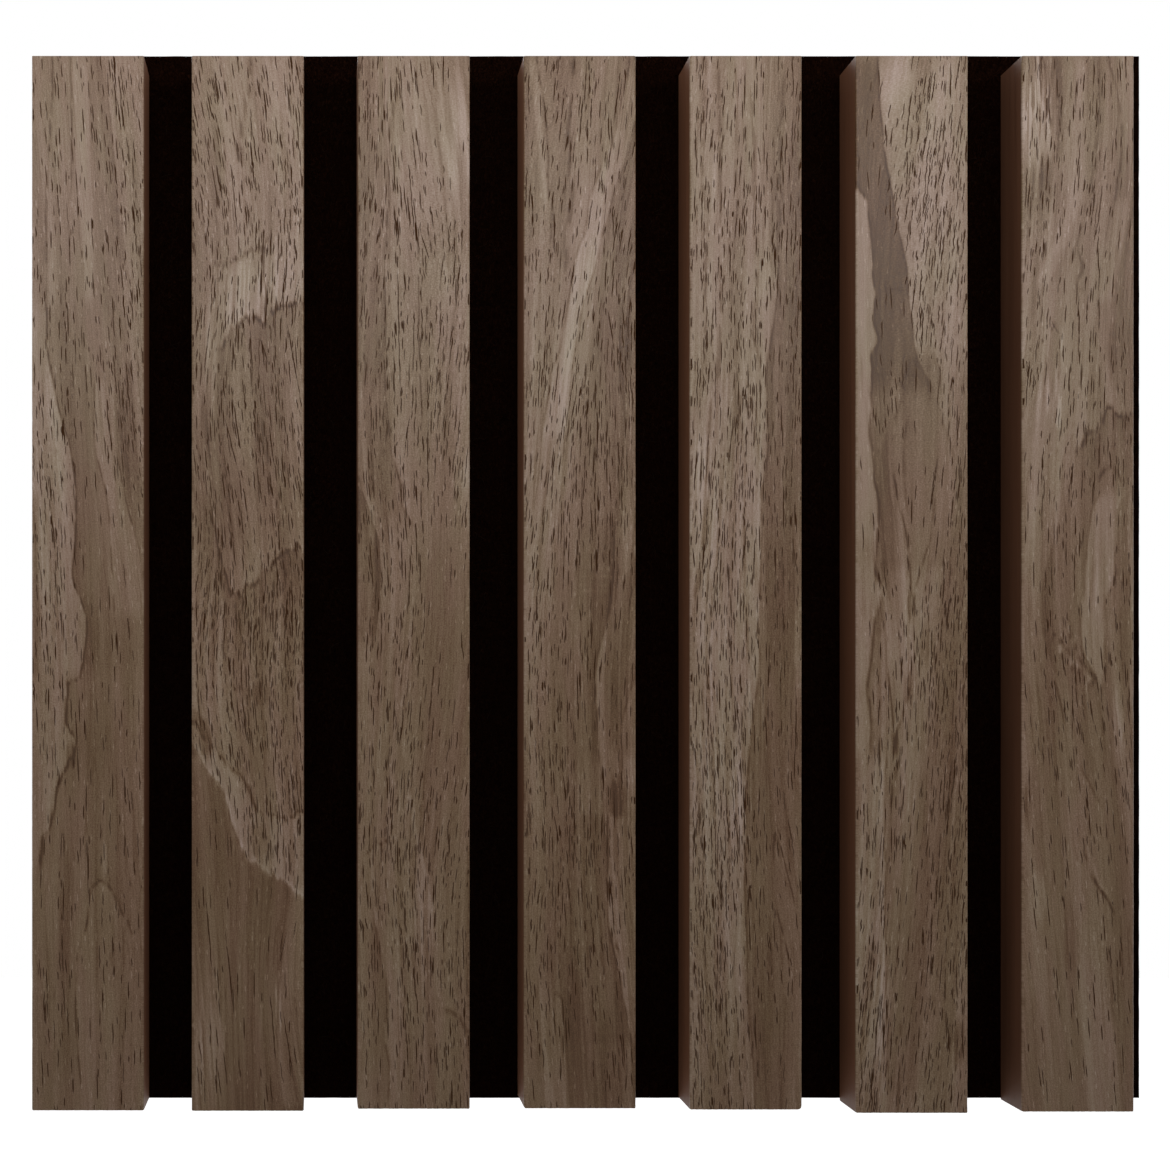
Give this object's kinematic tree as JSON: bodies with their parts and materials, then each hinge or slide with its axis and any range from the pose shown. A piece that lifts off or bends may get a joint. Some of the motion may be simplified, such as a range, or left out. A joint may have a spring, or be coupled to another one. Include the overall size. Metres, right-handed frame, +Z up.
{
  "type": "acoustic slat wall panel",
  "caption": "Flat wall panel of upright walnut-veneered slats with open channels between them, fixed on a sheet of black felt that absorbs sound.",
  "frame": {"origin": "centre of the felt's back face, where the panel meets the wall", "axes": "+Z up along the slats, +X to the right as seen from the room, +Y into the wall; the slats face -Y"},
  "size_m": [0.273, 0.021, 0.2596],
  "materials": {
    "walnut_veneer": "grey-brown smoked walnut, matt, open pores",
    "stained_fibreboard": "dark brown stained fibreboard, matt",
    "black_felt": "black needled polyester felt",
    "staple_wire": "galvanised flat wire"
  },
  "bodies": {
    "root": {"felt_backing": "black_felt", "staples": "staple_wire", "slat_core_1": "stained_fibreboard", "face_veneer_1": "walnut_veneer", "slat_core_2": "stained_fibreboard", "face_veneer_2": "walnut_veneer", "slat_core_3": "stained_fibreboard", "face_veneer_3": "walnut_veneer", "slat_core_4": "stained_fibreboard", "face_veneer_4": "walnut_veneer", "slat_core_5": "stained_fibreboard", "face_veneer_5": "walnut_veneer", "slat_core_6": "stained_fibreboard", "face_veneer_6": "walnut_veneer", "slat_core_7": "stained_fibreboard", "face_veneer_7": "walnut_veneer"}
  },
  "joints": []
}
